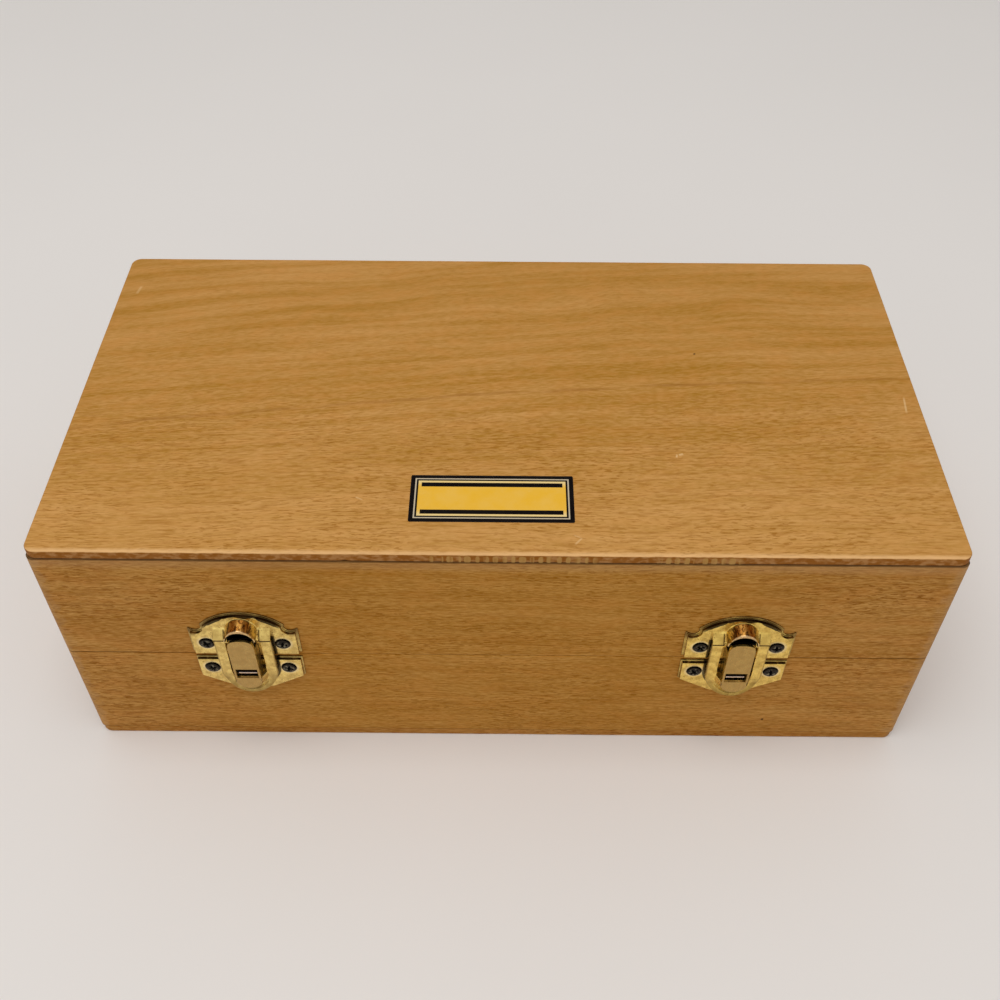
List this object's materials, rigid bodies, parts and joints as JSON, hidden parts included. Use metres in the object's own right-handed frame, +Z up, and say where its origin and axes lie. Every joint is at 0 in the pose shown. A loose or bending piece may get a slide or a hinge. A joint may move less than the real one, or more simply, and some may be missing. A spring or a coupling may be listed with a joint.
{
  "type": "hinged wooden case with snap clasps",
  "caption": "Rectangular wooden case with a hinged lid, snap clasps on the front, hinges at the back and a foam lining with a pocket for a loupe.",
  "frame": {"origin": "centre of the underside, on the plane the case stands on", "axes": "+X to the right along the case's length, +Y to the hinges at the back, +Z up"},
  "size_m": [0.24, 0.1355, 0.084],
  "materials": {
    "board": "oiled, open grain",
    "panel": "oiled, open grain",
    "lining": "matte foam",
    "clasp_brass": "satin plated",
    "hinge_brass": "satin plated",
    "screw": "dark plated"
  },
  "bodies": {
    "base": {"base_front": "board", "base_back": "board", "base_left": "board", "base_right": "board", "base_bottom": "panel", "base_insert": "lining", "keeper_plate_left": "clasp_brass", "keeper_plate_right": "clasp_brass", "catch_spring_left": "clasp_brass", "catch_spring_right": "clasp_brass", "keeper_screws": "screw", "hinge_base_leaf_left": "hinge_brass", "hinge_base_leaf_right": "hinge_brass", "hinge_pin_left": "hinge_brass", "hinge_pin_right": "hinge_brass", "hinge_base_screws": "screw"},
    "lid": {"lid_front": "board", "lid_back": "board", "lid_left": "board", "lid_right": "board", "lid_top": "panel", "lid_pad": "lining", "strike_plate_left": "clasp_brass", "strike_plate_right": "clasp_brass", "flap_pin_left": "clasp_brass", "flap_pin_right": "clasp_brass", "strike_screws": "screw", "hinge_lid_leaf_left": "hinge_brass", "hinge_lid_leaf_right": "hinge_brass", "hinge_lid_screws": "screw"},
    "flap_left": {"flap_left": "clasp_brass"},
    "flap_right": {"flap_right": "clasp_brass"}
  },
  "joints": [
    {"name": "lid_hinge", "type": "hinge", "parent": "base", "child": "lid", "pos_m": [0, 0.0649, 0.041], "axis": [-1, 0, 0], "range_deg": [0, 104], "deforming": ["catch_spring_left", "catch_spring_right"]},
    {"name": "flap_left_pivot", "type": "hinge", "parent": "lid", "child": "flap_left", "pos_m": [-0.069, -0.0649, 0.0504], "axis": [-1, 0, 0], "range_deg": [0, 55]},
    {"name": "flap_right_pivot", "type": "hinge", "parent": "lid", "child": "flap_right", "pos_m": [0.066, -0.0649, 0.0504], "axis": [-1, 0, 0], "range_deg": [0, 55]}
  ]
}
